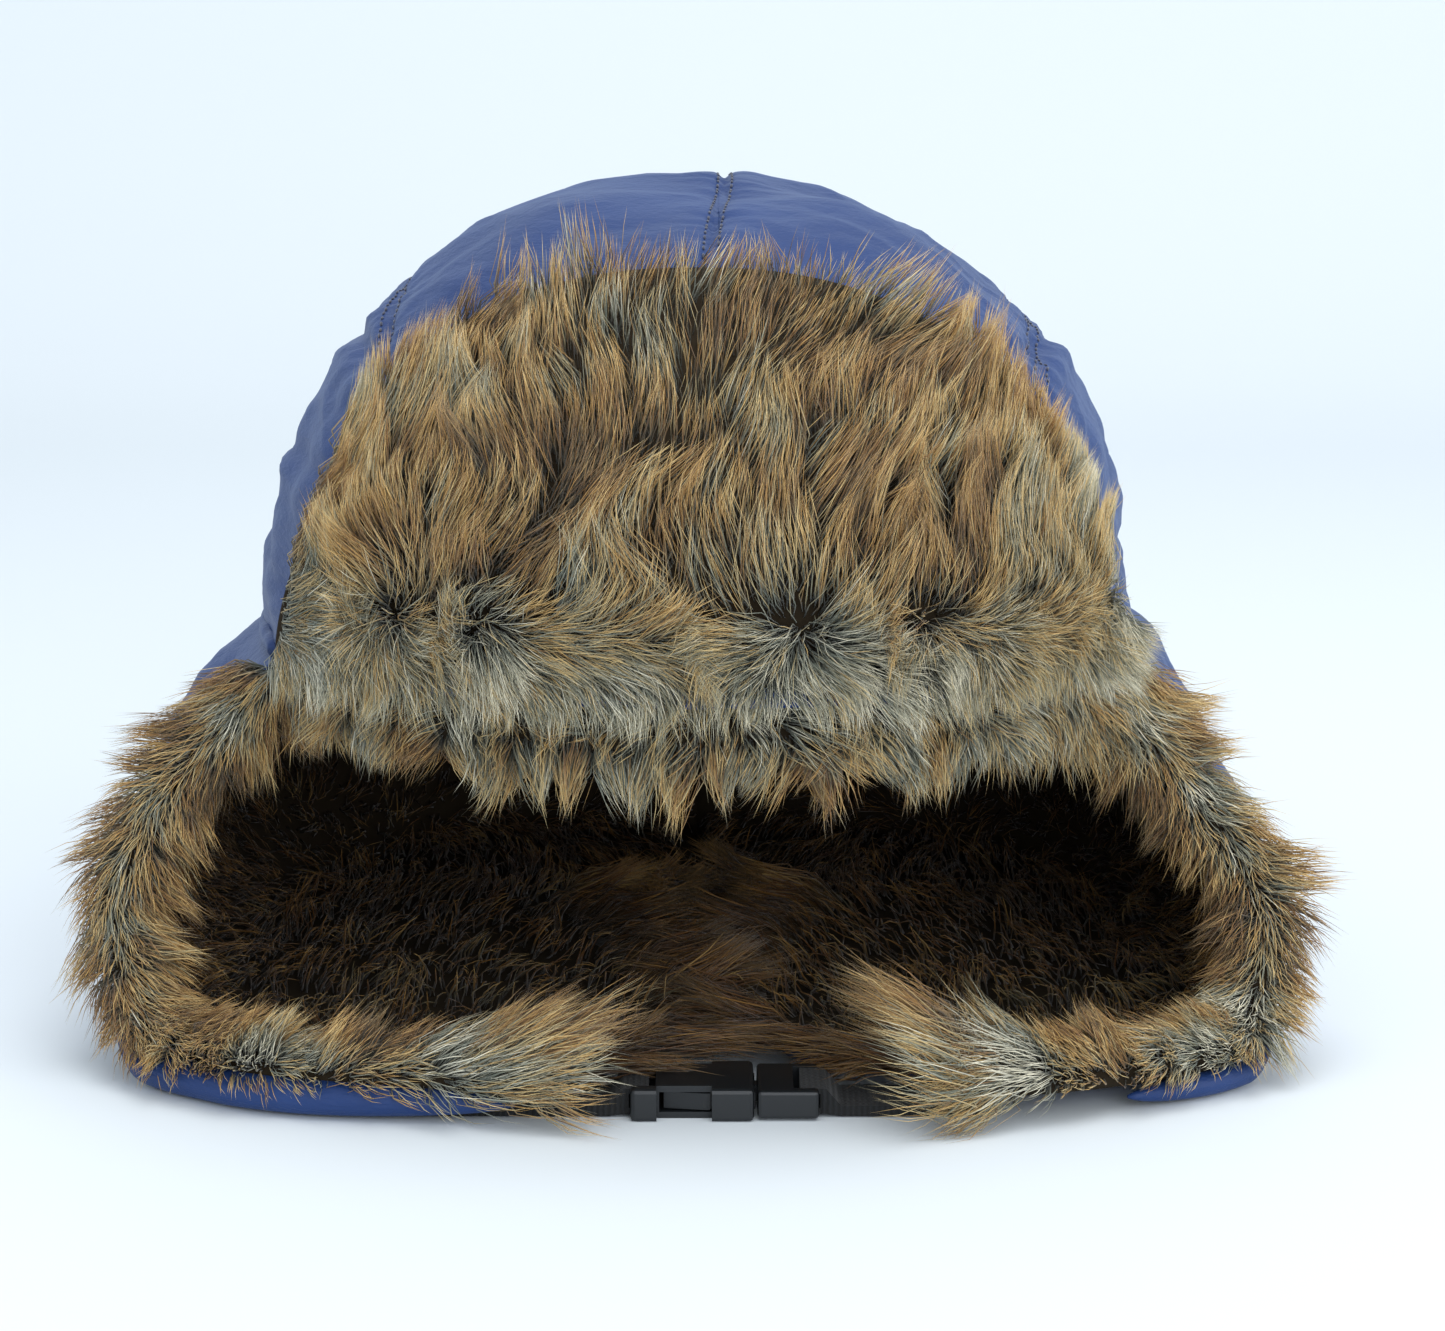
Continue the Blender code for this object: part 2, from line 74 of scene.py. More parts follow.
def new_material(name, **inputs):
    """A Principled material whose sockets are set from plain values."""
    material = bpy.data.materials.new(name)
    material.use_nodes = True
    shader = material.node_tree.nodes["Principled BSDF"]
    for key, value in inputs.items():
        shader.inputs[key.replace("_", " ")].default_value = value
    return material, shader


# Painted table top: matt, a little cool in daylight.
table_paint, _ = new_material("matt_white_table", Base_Color=linear("#dae1e6"), Roughness=0.75)
bm = bmesh.new()
bmesh.ops.create_grid(bm, x_segments=60, y_segments=60, size=2.5)
for v in bm.verts:
    v.co.y -= 0.9
    beyond = max(0.0, v.co.y - 0.9)
    v.co.z = min(2.4, 1.8 * beyond ** 2)
floor_mesh = bpy.data.meshes.new("table")
bm.to_mesh(floor_mesh)
bm.free()
floor_mesh.materials.append(table_paint)
floor_mesh.shade_smooth()
table = bpy.data.objects.new("table", floor_mesh)
bpy.context.scene.collection.objects.link(table)

LIGHTS = [
    ("ceiling_window", (0.15, -0.25, 1.5), 1.3, 12.5, "#ffffff"),
    ("front_fill", (0.55, -1.7, 0.60), 1.2, 12.5, "#f4f8ff"),
    ("right_fill", (1.5, -0.5, 0.5), 0.9, 5.0, "#fff7ee"),
]
LIT_POINT = Vector((0, -0.02, 0.08))
for name, place, size, power, tint in LIGHTS:
    data = bpy.data.lights.new(name, "AREA")
    data.shape = "DISK"
    data.size = size
    data.energy = power
    data.color = linear(tint)[:3]
    lamp = bpy.data.objects.new(name, data)
    lamp.location = place
    lamp.rotation_euler = (LIT_POINT - Vector(place)).to_track_quat("-Z", "Y").to_euler()
    bpy.context.scene.collection.objects.link(lamp)

world = bpy.data.worlds.new("soft_room")
world.use_nodes = True
world.node_tree.nodes["Background"].inputs["Color"].default_value = linear("#eef5fb")
world.node_tree.nodes["Background"].inputs["Strength"].default_value = 0.96
bpy.context.scene.world = world
bpy.context.scene.view_settings.view_transform = "Standard"

lens = bpy.data.cameras.new("camera")
lens.sensor_width = 36.0
lens.lens = 94.7
lens.shift_x = 0.0176
camera = bpy.data.objects.new("camera", lens)
TARGET = Vector((0.0, 0.0, 0.076))
ELEVATION = math.radians(12)
DISTANCE = 0.95
camera.location = TARGET + DISTANCE * Vector((0, -math.cos(ELEVATION), math.sin(ELEVATION)))
camera.rotation_euler = (math.pi / 2 - ELEVATION, 0, 0)
bpy.context.scene.collection.objects.link(camera)
bpy.context.scene.camera = camera


# ---- Crown: crinkled nylon over wadding ------------------------------------------------------
# Four panels of thin nylon, sewn front to back over wadding. The seams pull in and pucker, and
# a row of topstitching runs down each side of every seam.
CROWN_HALF_WIDTH, CROWN_FRONT, CROWN_BACK = 0.106, 0.128, 0.106
SHIFT_Y = -0.0014                   # moves the whole hat, so that its box is centred
CROWN_MIDDLE_Y = 0.008
CROWN_Y = CROWN_MIDDLE_Y + SHIFT_Y
RIM_Z, CROWN_HEIGHT = 0.092, 0.105
CROWN_FULLNESS, PLAN_FULLNESS = 2.08, 2.4
NYLON = 1.0 * MM
SEAM_SHIFT = 0.005                  # the middle seam lies a little right of the centre
SEAMS = [-0.074 + SEAM_SHIFT * 0.6, SEAM_SHIFT, 0.074 + SEAM_SHIFT]


def waves(points, size, seed, count=9):
    """A smooth irregular field between about -1 and 1, whose bumps are about size metres apart."""
    rng = np.random.default_rng(seed)
    turns = rng.normal(size=(count, 3))
    turns /= np.linalg.norm(turns, axis=1, keepdims=True)
    turns *= rng.uniform(0.6, 1.5, (count, 1)) * 2 * math.pi / size
    total = np.sin(points @ turns.T + rng.uniform(0, 2 * math.pi, count)).sum(axis=1)
    return total / math.sqrt(count)


def unit(vectors):
    return vectors / np.maximum(np.linalg.norm(vectors, axis=-1, keepdims=True), 1e-12)


def crown_surface(turn, rise, inset):
    """Crown points. Turn is 0 at the back and positive to +X, rise is 0 at the rim and 1 on top."""
    rise = np.clip(rise, 0, 1)
    up = np.sin(rise * math.pi / 2) ** (2 / CROWN_FULLNESS)
    spread = np.cos(rise * math.pi / 2) ** (2 / CROWN_FULLNESS)
    side = np.sign(np.sin(turn)) * np.abs(np.sin(turn)) ** (2 / PLAN_FULLNESS)
    ahead = np.sign(np.cos(turn)) * np.abs(np.cos(turn)) ** (2 / PLAN_FULLNESS)
    reach = np.where(ahead > 0, CROWN_BACK, CROWN_FRONT) - inset
    return np.stack([
        (CROWN_HALF_WIDTH - inset) * spread * side,
        CROWN_Y + reach * spread * ahead,
        RIM_Z + (CROWN_HEIGHT - inset) * up,
    ], axis=-1)


def crown_normal(points):
    """Outward normals of the crown at points near its surface."""
    x = points[:, 0] / CROWN_HALF_WIDTH
    reach = np.where(points[:, 1] > CROWN_Y, CROWN_BACK, CROWN_FRONT)
    y = (points[:, 1] - CROWN_Y) / reach
    z = np.maximum(points[:, 2] - RIM_Z, 0) / CROWN_HEIGHT
    p, q = PLAN_FULLNESS, CROWN_FULLNESS
    plan = np.maximum(np.abs(x) ** p + np.abs(y) ** p, 1e-9) ** (q / p - 1)
    return unit(np.stack([
        plan * np.sign(x) * np.abs(x) ** (p - 1) / CROWN_HALF_WIDTH,
        plan * np.sign(y) * np.abs(y) ** (p - 1) / reach,
        z ** (q - 1) / CROWN_HEIGHT + 1e-4,
    ], axis=-1))


def crown_wrinkles(points):
    """How far the nylon stands off its smooth surface: lumps, puckered seams, folds and crinkles."""
    x, y, z = points.T
    out = 1.2 * MM * waves(points, 0.085, 1) + 0.7 * MM * waves(points, 0.036, 2)
    along = points * [0.25, 1.0, 1.0]
    for number in range(len(SEAMS)):
        away = np.abs(x - seam_x(number, y))
        out -= 1.5 * MM * np.exp(-((away / (1.5 * MM)) ** 2))
        out += 0.5 * MM * np.exp(-(((away - 6 * MM) / (4 * MM)) ** 2))
        pucker = waves(along, 0.0075, 10 + number) + 0.6 * waves(along, 0.0045, 20 + number)
        out += 0.45 * MM * pucker * np.exp(-away / (7 * MM))
    # Tucks that run level round both sides, where the cloth creases over the wadding.
    side = np.clip((np.abs(x) - 0.045) / 0.03, 0, 1)
    for height, depth, seed in ((0.158, 1.9, 31), (0.128, 1.0, 32), (0.108, 1.0, 33)):
        crease = z - height - 3.5 * MM * waves(points * [1, 1, 0.2], 0.07, seed)
        out -= depth * MM * side * np.exp(-((crease / (2.2 * MM)) ** 2))
        out += 0.6 * depth * MM * side * np.exp(-(((crease + 5 * MM) / (3.4 * MM)) ** 2))
    # Level streaks and sharp crinkles of the thin cloth.
    level = points * [0.22, 0.22, 1.0]
    out += 0.20 * MM * waves(level, 0.0085, 41) + 0.16 * MM * waves(level, 0.0046, 42)
    ridge = 1 - np.abs(waves(points * [0.45, 0.45, 1.0], 0.021, 43))
    out += 1.1 * MM * np.clip(ridge - 0.55, 0, 1)
    return np.maximum(out, -3.2 * MM)


def seam_x(number, y):
    """Where a seam runs at y: the sewn line wanders a little from side to side."""
    return SEAMS[number] + 0.002 * np.sin(y * 38 + number)


def mesh_from(name, points, faces, material, smooth=True):
    mesh = bpy.data.meshes.new(name)
    mesh.from_pydata(np.asarray(points).tolist(), [], faces)
    mesh.materials.append(material)
    if smooth:
        mesh.shade_smooth()
    made = bpy.data.objects.new(name, mesh)
    bpy.context.scene.collection.objects.link(made)
    return made


def grid_faces(rows, columns, closed=False):
    """Quads of a grid whose points are stored row by row. Closed joins the last column to the first."""
    faces = []
    for i in range(rows - 1):
        for j in range(columns if closed else columns - 1):
            k = (j + 1) % columns
            faces.append((i * columns + j, i * columns + k, (i + 1) * columns + k, (i + 1) * columns + j))
    return faces


# Nylon taffeta, calendered: a soft satin gloss over fine level crinkles.
nylon, shader = new_material("crinkled_nylon_taffeta", Roughness=0.48, Specular_IOR_Level=0.30,
                             Sheen_Weight=0.14, Sheen_Roughness=0.35)
shader.inputs["Sheen Tint"].default_value = linear("#86a8de")
place = node(nylon, "ShaderNodeTexCoord")
stretch = node(nylon, "ShaderNodeMapping", {"Vector": place.outputs["Object"], "Scale": (0.28, 0.28, 1.0)})
crinkle = node(nylon, "ShaderNodeTexNoise", {"Vector": stretch.outputs["Vector"], "Scale": 760.0,
                                             "Detail": 5.0, "Roughness": 0.6, "Distortion": 0.4})
patchy = node(nylon, "ShaderNodeTexNoise", {"Vector": place.outputs["Object"], "Scale": 26.0,
                                            "Detail": 3.0})
shade = node(nylon, "ShaderNodeMix", {"Factor": patchy.outputs["Fac"], "A": linear("#19305f"),
                                      "B": linear("#243f74")}, data_type="RGBA")
nylon.node_tree.links.new(shade.outputs["Result"], shader.inputs["Base Color"])
bump = node(nylon, "ShaderNodeBump", {"Height": crinkle.outputs["Fac"], "Strength": 0.6,
                                      "Distance": 0.0008})
nylon.node_tree.links.new(bump.outputs["Normal"], shader.inputs["Normal"])

AROUND, UP = 400, 126
turn, rise = np.meshgrid(np.linspace(0, 2 * math.pi, AROUND, endpoint=False), np.linspace(0, 0.995, UP))
smooth_crown = crown_surface(turn, rise, 0.0).reshape(-1, 3)
top = np.array([[0, CROWN_Y, RIM_Z + CROWN_HEIGHT]])
smooth_crown = np.vstack([smooth_crown, top])
crown_points = smooth_crown + crown_normal(smooth_crown) * crown_wrinkles(smooth_crown)[:, None]
crown_points[:, 2] = np.maximum(crown_points[:, 2], RIM_Z + 0.2 * MM)
crown_faces = [f[::-1] for f in grid_faces(UP, AROUND, closed=True)]
last = (UP - 1) * AROUND
crown_faces += [(last + (j + 1) % AROUND, last + j, len(smooth_crown) - 1) for j in range(AROUND)]
whole = mesh_from("crown_whole", crown_points, crown_faces, nylon)
PANELS = ["crown_panel_side_left", "crown_panel_top_left", "crown_panel_top_right",
          "crown_panel_side_right"]
for i, panel_node in enumerate(PANELS):
    bm = bmesh.new()
    bm.from_mesh(whole.data)
    edges = ([None] + SEAMS + [None])[i:i + 2]
    for limit, facing in zip(edges, (1, -1)):
        if limit is None:
            continue
        bmesh.ops.bisect_plane(bm, geom=bm.verts[:] + bm.edges[:] + bm.faces[:], dist=1e-6,
                               plane_co=(limit, 0, 0), plane_no=(facing, 0, 0), clear_inner=True)
    mesh = bpy.data.meshes.new(panel_node + "_nylon")
    bm.to_mesh(mesh)
    bm.free()
    mesh.materials.append(nylon)
    mesh.shade_smooth()
    panel = bpy.data.objects.new(mesh.name, mesh)
    bpy.context.scene.collection.objects.link(panel)
    wall = panel.modifiers.new("wall", "SOLIDIFY")
    wall.thickness = 0.8 * MM
    wall.offset = -1.0
    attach(panel, "hat")
    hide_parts(panel_node)
bpy.data.objects.remove(whole)

# Topstitching: one row of polyester thread on each side of every seam.
thread, _ = new_material("twisted_polyester_thread", Base_Color=linear("#101a38"), Roughness=0.55,
                         Sheen_Weight=0.3)
STITCH, STITCH_PITCH, THREAD_RADIUS, ROW_FROM_SEAM = 2.5 * MM, 3.4 * MM, 0.36 * MM, 1.7 * MM


def on_crown(x, y):
    """Points of the wrinkled nylon over the given x and y, and their outward normals."""
    reach = np.where(y > CROWN_Y, CROWN_BACK, CROWN_FRONT)
    plan = np.abs(x / CROWN_HALF_WIDTH) ** PLAN_FULLNESS + np.abs((y - CROWN_Y) / reach) ** PLAN_FULLNESS
    rise = np.clip(1 - plan ** (CROWN_FULLNESS / PLAN_FULLNESS), 0, 1) ** (1 / CROWN_FULLNESS)
    points = np.stack([x, y, RIM_Z + CROWN_HEIGHT * rise], axis=1)
    normals = crown_normal(points)
    return points + normals * crown_wrinkles(points)[:, None], normals


for number in range(len(SEAMS)):
    bm = bmesh.new()
    for row in (-1, 1):
        y = np.linspace(CROWN_Y - CROWN_FRONT, CROWN_Y + CROWN_BACK, 3000)
        line, normals = on_crown(seam_x(number, y) + row * ROW_FROM_SEAM, y)
        shown = line[:, 2] > RIM_Z + 4 * MM
        line, normals = line[shown], normals[shown]
        run = np.concatenate([[0], np.cumsum(np.linalg.norm(np.diff(line, axis=0), axis=1))])
        for start in np.arange(STITCH_PITCH, run[-1] - STITCH_PITCH, STITCH_PITCH):
            ends = [np.array([np.interp(at, run, line[:, k]) for k in range(3)])
                    for at in (start, start + STITCH)]
            out = normals[np.searchsorted(run, start + STITCH / 2)]
            turn = Vector(ends[1] - ends[0]).to_track_quat("Z", "X").to_matrix().to_4x4()
            turn.translation = Vector((ends[0] + ends[1]) / 2 + out * 0.12 * MM)
            made = bmesh.ops.create_icosphere(bm, subdivisions=1, radius=THREAD_RADIUS)
            for v in made["verts"]:
                v.co.z *= STITCH / 2 / THREAD_RADIUS
                v.co = turn @ v.co
    mesh = bpy.data.meshes.new(f"crown_topstitching_{number + 1}")
    bm.to_mesh(mesh)
    bm.free()
    mesh.materials.append(thread)
    mesh.shade_smooth()
    stitches = bpy.data.objects.new(mesh.name, mesh)
    bpy.context.scene.collection.objects.link(stitches)
    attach(stitches, "hat")


# ---- Skirt: ear flaps and neck flap ----------------------------------------------------------
# Each half runs from the chin tip round the ear to the seam down the back: nylon outside,
# fur inside. The real cloth is continuous, so each half bends from the neck to the ear flap.
FLAP_TOP_Z, FLAP_INSET = 0.089, 1.2 * MM
EAR_FRONT_Y, EAR_BACK_Y = -0.048, 0.045
EAR_BULGE, HEM_BULGE = 5 * MM, {-1: 0.020, 1: 0.034}
EAR_EDGE = {
    -1: [(97, -48, 89), (109, -54, 77), (125, -63, 60), (134, -73, 38),
         (127, -87, 14), (110, -101, 3), (84, -112, 4.8), (26, -119, 4.8)],
    1: [(97, -48, 89), (104, -53, 77), (117, -62, 60), (131, -73, 38),
        (127, -87, 14), (110, -101, 3), (84, -112, 4.8), (53, -119, 4.8)],
}
CUT_PROFILE = [(0, 89), (16, 75), (26, 56), (29, 35), (22, 14), (0, -2), (-32, -2), (-66, -2)]
NAPE_PROFILE = [(0, 89), (10, 72), (17, 54), (21, 35), (19, 15), (4, -2), (-24, -2), (-58, -2)]


def plan_x(y):
    """Half width of the rim's outline at y."""
    reach = (CROWN_BACK if y > CROWN_MIDDLE_Y else CROWN_FRONT) - FLAP_INSET
    share = abs(y - CROWN_MIDDLE_Y) / reach
    return (CROWN_HALF_WIDTH - FLAP_INSET) * (1 - share ** PLAN_FULLNESS) ** (1 / PLAN_FULLNESS)


def smooth_through(rows, share):
    """Catmull-Rom curve through rows of points, at shares from 0 to 1."""
    rows = np.asarray(rows, float)
    padded = np.vstack([2 * rows[:1] - rows[1:2], rows, 2 * rows[-1:] - rows[-2:-1]])
    at = np.clip(share, 0, 1) * (len(rows) - 1)
    i = np.minimum(at.astype(int), len(rows) - 2)
    f = (at - i)[:, None]
    a, b, c, d = padded[i], padded[i + 1], padded[i + 2], padded[i + 3]
    return 0.5 * (2 * b + (c - a) * f + (2 * a - 5 * b + 4 * c - d) * f ** 2
                  + (3 * b - a - 3 * c + d) * f ** 3)


def ear_rows(back, side):
    """The eight points down one line of the ear flap, back of its front edge by a share."""
    rows = []
    for i, (edge, cut) in enumerate(zip(EAR_EDGE[side], CUT_PROFILE)):
        front = np.array(edge) * MM
        rear = np.array([plan_x(EAR_BACK_Y) + cut[0] * MM, EAR_BACK_Y, cut[1] * MM])
        point = front + (rear - front) * back
        if i == 0:
            rim_y = EAR_FRONT_Y + (EAR_BACK_Y - EAR_FRONT_Y) * back
            point = np.array([plan_x(rim_y), rim_y, FLAP_TOP_Z])
        elif cut[1] > 10:
            point[0] += EAR_BULGE * math.sin(math.pi * back)
        elif i > 5:
            past_strap = min(max((back - 0.1) / 0.9, 0.0), 1.0)
            point[0] -= HEM_BULGE[side] * (i - 5) / 2 * math.sin(math.pi * past_strap ** 0.6)
        rows.append(point)
    return rows


def neck_rows(around):
    """The eight points down one line of the neck flap, 0 at the nape and 1 at the ear flap."""
    reach = CROWN_BACK - FLAP_INSET
    widest = math.acos(((EAR_BACK_Y - CROWN_MIDDLE_Y) / reach) ** (PLAN_FULLNESS / 2))
    turn = widest * around
    rim = np.array([
        (CROWN_HALF_WIDTH - FLAP_INSET) * math.sin(turn) ** (2 / PLAN_FULLNESS),
        CROWN_MIDDLE_Y + reach * math.cos(turn) ** (2 / PLAN_FULLNESS), 0.0])
    out = np.array([math.sin(around * math.pi / 2), math.cos(around * math.pi / 2), 0.0])
    share = around * around
    rows = []
    for nape, cut in zip(NAPE_PROFILE, CUT_PROFILE):
        stand = nape[0] + (cut[0] - nape[0]) * share
        height = nape[1] + (cut[1] - nape[1]) * share
        rows.append(rim + out * stand * MM + np.array([0, 0, height * MM]))
    return rows


def skirt_grid(side, lines, steps):
    """Base surface of one half, from the chin edge to the nape: points and their outward normals."""
    share = np.linspace(0, 1, steps)
    ear_lines = int(lines * 0.6)
    rows = [ear_rows(b, side) for b in np.linspace(0, 1, ear_lines, endpoint=False)]
    rows += [neck_rows(a) for a in np.linspace(1, 0, lines - ear_lines)]
    points = np.array([smooth_through(r, share) for r in rows])
    for _ in range(14):
        points[1:-1] = 0.5 * points[1:-1] + 0.25 * (points[:-2] + points[2:])
    points[:, :, 2] = np.maximum(points[:, :, 2], NYLON)
    points[:, :, 0] *= side
    points[:, :, 1] += SHIFT_Y
    normals = unit(np.cross(np.gradient(points, axis=0), np.gradient(points, axis=1)))
    if (normals[:, :, 0] * side).sum() < 0:
        normals = -normals
    return points, normals


def closed_sheet(name, outer, inner, material):
    """A closed body between two grids of points of the same size."""
    lines, steps = outer.shape[:2]
    count = lines * steps
    faces = grid_faces(lines, steps)
    faces += [tuple(k + count for k in f[::-1]) for f in faces]
    border = [j for j in range(steps)] + [i * steps + steps - 1 for i in range(1, lines)]
    border += [(lines - 1) * steps + j for j in range(steps - 2, -1, -1)]
    border += [i * steps for i in range(lines - 2, 0, -1)]
    for k, a in enumerate(border):
        b = border[(k + 1) % len(border)]
        faces.append((b, a, a + count, b + count))
    points = np.vstack([outer.reshape(-1, 3), inner.reshape(-1, 3)])
    made = mesh_from(name, points, faces, material)
    bm = bmesh.new()
    bm.from_mesh(made.data)
    bmesh.ops.recalc_face_normals(bm, faces=bm.faces)
    bm.to_mesh(made.data)
    bm.free()
    return made


# The woven ground that the pile is knitted into: dark, soft and matt under the hair.
ground, _ = new_material("fur_backing_knit", Base_Color=linear("#2b2318"), Roughness=0.95,
                         Specular_IOR_Level=0.15)

SIDES = {-1: "left", 1: "right"}
skirts = {}
for side, label in SIDES.items():
    points, normals = skirt_grid(side, 130, 84)
    skirts[side] = points, normals
    flat = points.reshape(-1, 3)
    level = flat * [0.6, 0.6, 1.0]
    stand = 0.5 + 1.3 * waves(flat, 0.055, 51 + side) + 0.6 * waves(level, 0.016, 52 + side)
    stand += 0.25 * waves(level, 0.007, 53 + side)
    lift = (0.7 + np.clip(stand, -0.5, 3.0)).reshape(points.shape[:2]) * MM
    free = np.clip((FLAP_TOP_Z - points[:, :, 2]) / 0.012, 0, 1)
    # Over the strap's tail the nylon lies flat.
    free *= np.where((points[:, :, 1] < -0.092) & (points[:, :, 2] < 0.012), 0.2, 1.0)
    outer = points + normals * (0.3 * MM + lift * free)[:, :, None]
    outer[:, :, 2] = np.maximum(outer[:, :, 2], 0.1 * MM)
    shell = closed_sheet(f"skirt_nylon_{label}", outer, points + normals * 0.1 * MM, nylon)
    inside = points - normals * 0.3 * MM
    pile_foot = points - normals * 3.0 * MM
    backing = closed_sheet(f"skirt_fur_backing_{label}", inside, pile_foot, ground)
    for piece, layer, finish in ((shell, "shell", "nylon"), (backing, "lining", "faux_fur")):
        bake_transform(piece)
        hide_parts(f"ear_flap_{label}_{layer}", f"neck_flap_{label}_{layer}")


# ---- Front flap ------------------------------------------------------------------------------
# A fur faced flap that folds down over the brow in the cold. Here it stands up against the
# crown: nylon behind, long pile in front.
FRONT_HALF_WIDTH, FRONT_TURN = 0.096, math.radians(78)
FRONT_MIDDLE_Y, FRONT_SWEEP, FRONT_LEAN = -0.123 + SHIFT_Y, 0.045, 0.058
FRONT_ROOT_Z, FRONT_SIDE_HEIGHT, FRONT_ARCH_HEIGHT = 0.098, 0.015, 0.068
FRONT_ARCH_POWER, FRONT_NARROWING, FRONT_BEND_POWER = 2.35, 0.10, 2.6


def front_height(across):
    """Height of the flap's free edge over its fold, where across runs from -1 to 1."""
    share = np.abs(np.sin(across * FRONT_TURN))
    return FRONT_SIDE_HEIGHT + FRONT_ARCH_HEIGHT * np.sqrt(1 - share ** FRONT_ARCH_POWER)


def front_surface(across, up):
    """Front flap points. Across runs from -1 to 1, up from 0 at the fold to 1 at the free edge."""
    rise = up * front_height(across)
    x = np.sin(across * FRONT_TURN) * FRONT_HALF_WIDTH * (1 - FRONT_NARROWING * np.abs(up) ** 1.5)
    sweep = FRONT_SWEEP * np.abs(x / FRONT_HALF_WIDTH) ** FRONT_BEND_POWER
    tallest = FRONT_SIDE_HEIGHT + FRONT_ARCH_HEIGHT
    lean = FRONT_LEAN * (np.maximum(rise, 0) / tallest) ** FRONT_BEND_POWER
    return np.stack([x, FRONT_MIDDLE_Y + sweep + lean, FRONT_ROOT_Z + rise], axis=-1)


def front_fan(points):
    """Directions that point out of the flap's fur side and fan out towards its edges."""
    rise = (points[..., 2] - FRONT_ROOT_Z) / FRONT_ARCH_HEIGHT
    fan = np.stack([0.8 * points[..., 0] / FRONT_HALF_WIDTH, -np.ones_like(rise), 0.6 * rise], axis=-1)
    return unit(fan)


across, up = np.meshgrid(np.linspace(-1, 1, 110), np.linspace(0, 1, 50), indexing="ij")
flap = front_surface(across, up)
fan = front_fan(flap)
ripple = waves(flap.reshape(-1, 3), 0.02, 61).reshape(across.shape) * 0.4 * MM
back_face = flap - fan * (1.0 * MM + np.maximum(ripple, -0.5 * MM))[:, :, None]
flap_nylon = closed_sheet("front_flap_nylon", flap, back_face, nylon)
flap_backing = closed_sheet("front_flap_fur_backing", flap + fan * 3.0 * MM, flap + fan * 0.3 * MM, ground)
for piece, layer, finish in ((flap_nylon, "shell", "nylon"), (flap_backing, "fur", "faux_fur")):
    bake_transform(piece)
    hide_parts(f"front_flap_{layer}")


# ---- Rolled edges, piping and hems -----------------------------------------------------------
# The fur is turned over the edge: under the crown's rim at the brow, and down each ear flap.
# Nylon covers the seam under the rim, and is turned under at the foot of each ear flap.
def roll(name, path, radius, material, sides=14, taper_length=None):
    """A round roll along a path, with rounded or tapered ends. Returns the piece and its path's frame."""
    path = np.asarray(path)
    along = unit(np.gradient(path, axis=0))
    first = unit(np.cross(along, [0.0, 0.0, 1.0]))
    second = unit(np.cross(first, along))
    turn = np.linspace(0, 2 * math.pi, sides, endpoint=False)
    count = len(path)
    ends = np.minimum(np.arange(count), count - 1 - np.arange(count)) * np.linalg.norm(path[1] - path[0])
    share = np.minimum(ends / (taper_length or radius), 1)
    taper = np.sqrt(np.clip(1 - (1 - share) ** 2, 0.02, 1))
    out = np.cos(turn)[None, :, None] * first[:, None] + np.sin(turn)[None, :, None] * second[:, None]
    points = path[:, None] + out * (radius * taper)[:, None, None]
    faces = grid_faces(count, sides, closed=True)
    faces += [tuple(range(sides))[::-1], tuple((count - 1) * sides + j for j in range(sides))]
    made = mesh_from(name, points.reshape(-1, 3), faces, material)
    bm = bmesh.new()
    bm.from_mesh(made.data)
    bmesh.ops.recalc_face_normals(bm, faces=bm.faces)
    bm.to_mesh(made.data)
    bm.free()
    return made, path, first, second, along


BROW_RADIUS, TRIM_RADIUS = 6.5 * MM, 5.5 * MM
ROLL_STANDOFF = 7.5 * MM
BACKING_SHARE = 0.72                # share of a roll's radius that is backing, under the pile
turns = np.linspace(math.pi - 1.3, math.pi + 1.3, 160)
brow_path = crown_surface(turns, np.zeros(160), ROLL_STANDOFF)
brow_path = brow_path[brow_path[:, 1] < -0.055]
brow_path[:, 2] = RIM_Z - 0.4 * MM - BROW_RADIUS
brow, *brow_frame = roll("brow_roll_backing", brow_path, BROW_RADIUS * BACKING_SHARE, ground)
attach(brow, "hat")
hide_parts("brow_trim")

trim_frames = {}
for side, label in SIDES.items():
    points, _ = skirts[side]
    steps = points.shape[1]
    keep = np.linspace(0.03, 0.985, 110) * (steps - 1)
    low = keep.astype(int)
    next_edge = points[0, np.minimum(low + 1, steps - 1)]
    edge = points[0, low] + (next_edge - points[0, low]) * (keep - low)[:, None]
    behind = points[6, low]
    trim_path = edge + unit(edge - behind) * ROLL_STANDOFF
    trim_path[:, 2] = np.maximum(trim_path[:, 2], TRIM_RADIUS + 3.4 * MM)
    for _ in range(6):
        trim_path[1:-1] = 0.5 * trim_path[1:-1] + 0.25 * (trim_path[:-2] + trim_path[2:])
    trim, *trim_frames[side] = roll(f"ear_flap_roll_backing_{label}", trim_path,
                                    TRIM_RADIUS * BACKING_SHARE, ground)
    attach(trim, f"{label}_ear")
    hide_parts(f"ear_flap_trim_{label}")

# Nylon piping covers the seam where the skirt joins the crown, round the back and both sides.
PIPING_RADIUS, PIPING_Z = 2.4 * MM, 90.4 * MM
turns = np.linspace(-2.2, 2.2, 260)
piping_path = crown_surface(turns, np.zeros(260), 0.6 * MM)
piping_path = piping_path[piping_path[:, 1] > -0.052]
piping_path[:, 2] = PIPING_Z + 0.25 * MM * waves(piping_path, 0.012, 63)
piping, *_ = roll("rim_piping", piping_path, PIPING_RADIUS, nylon)
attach(piping, "hat")

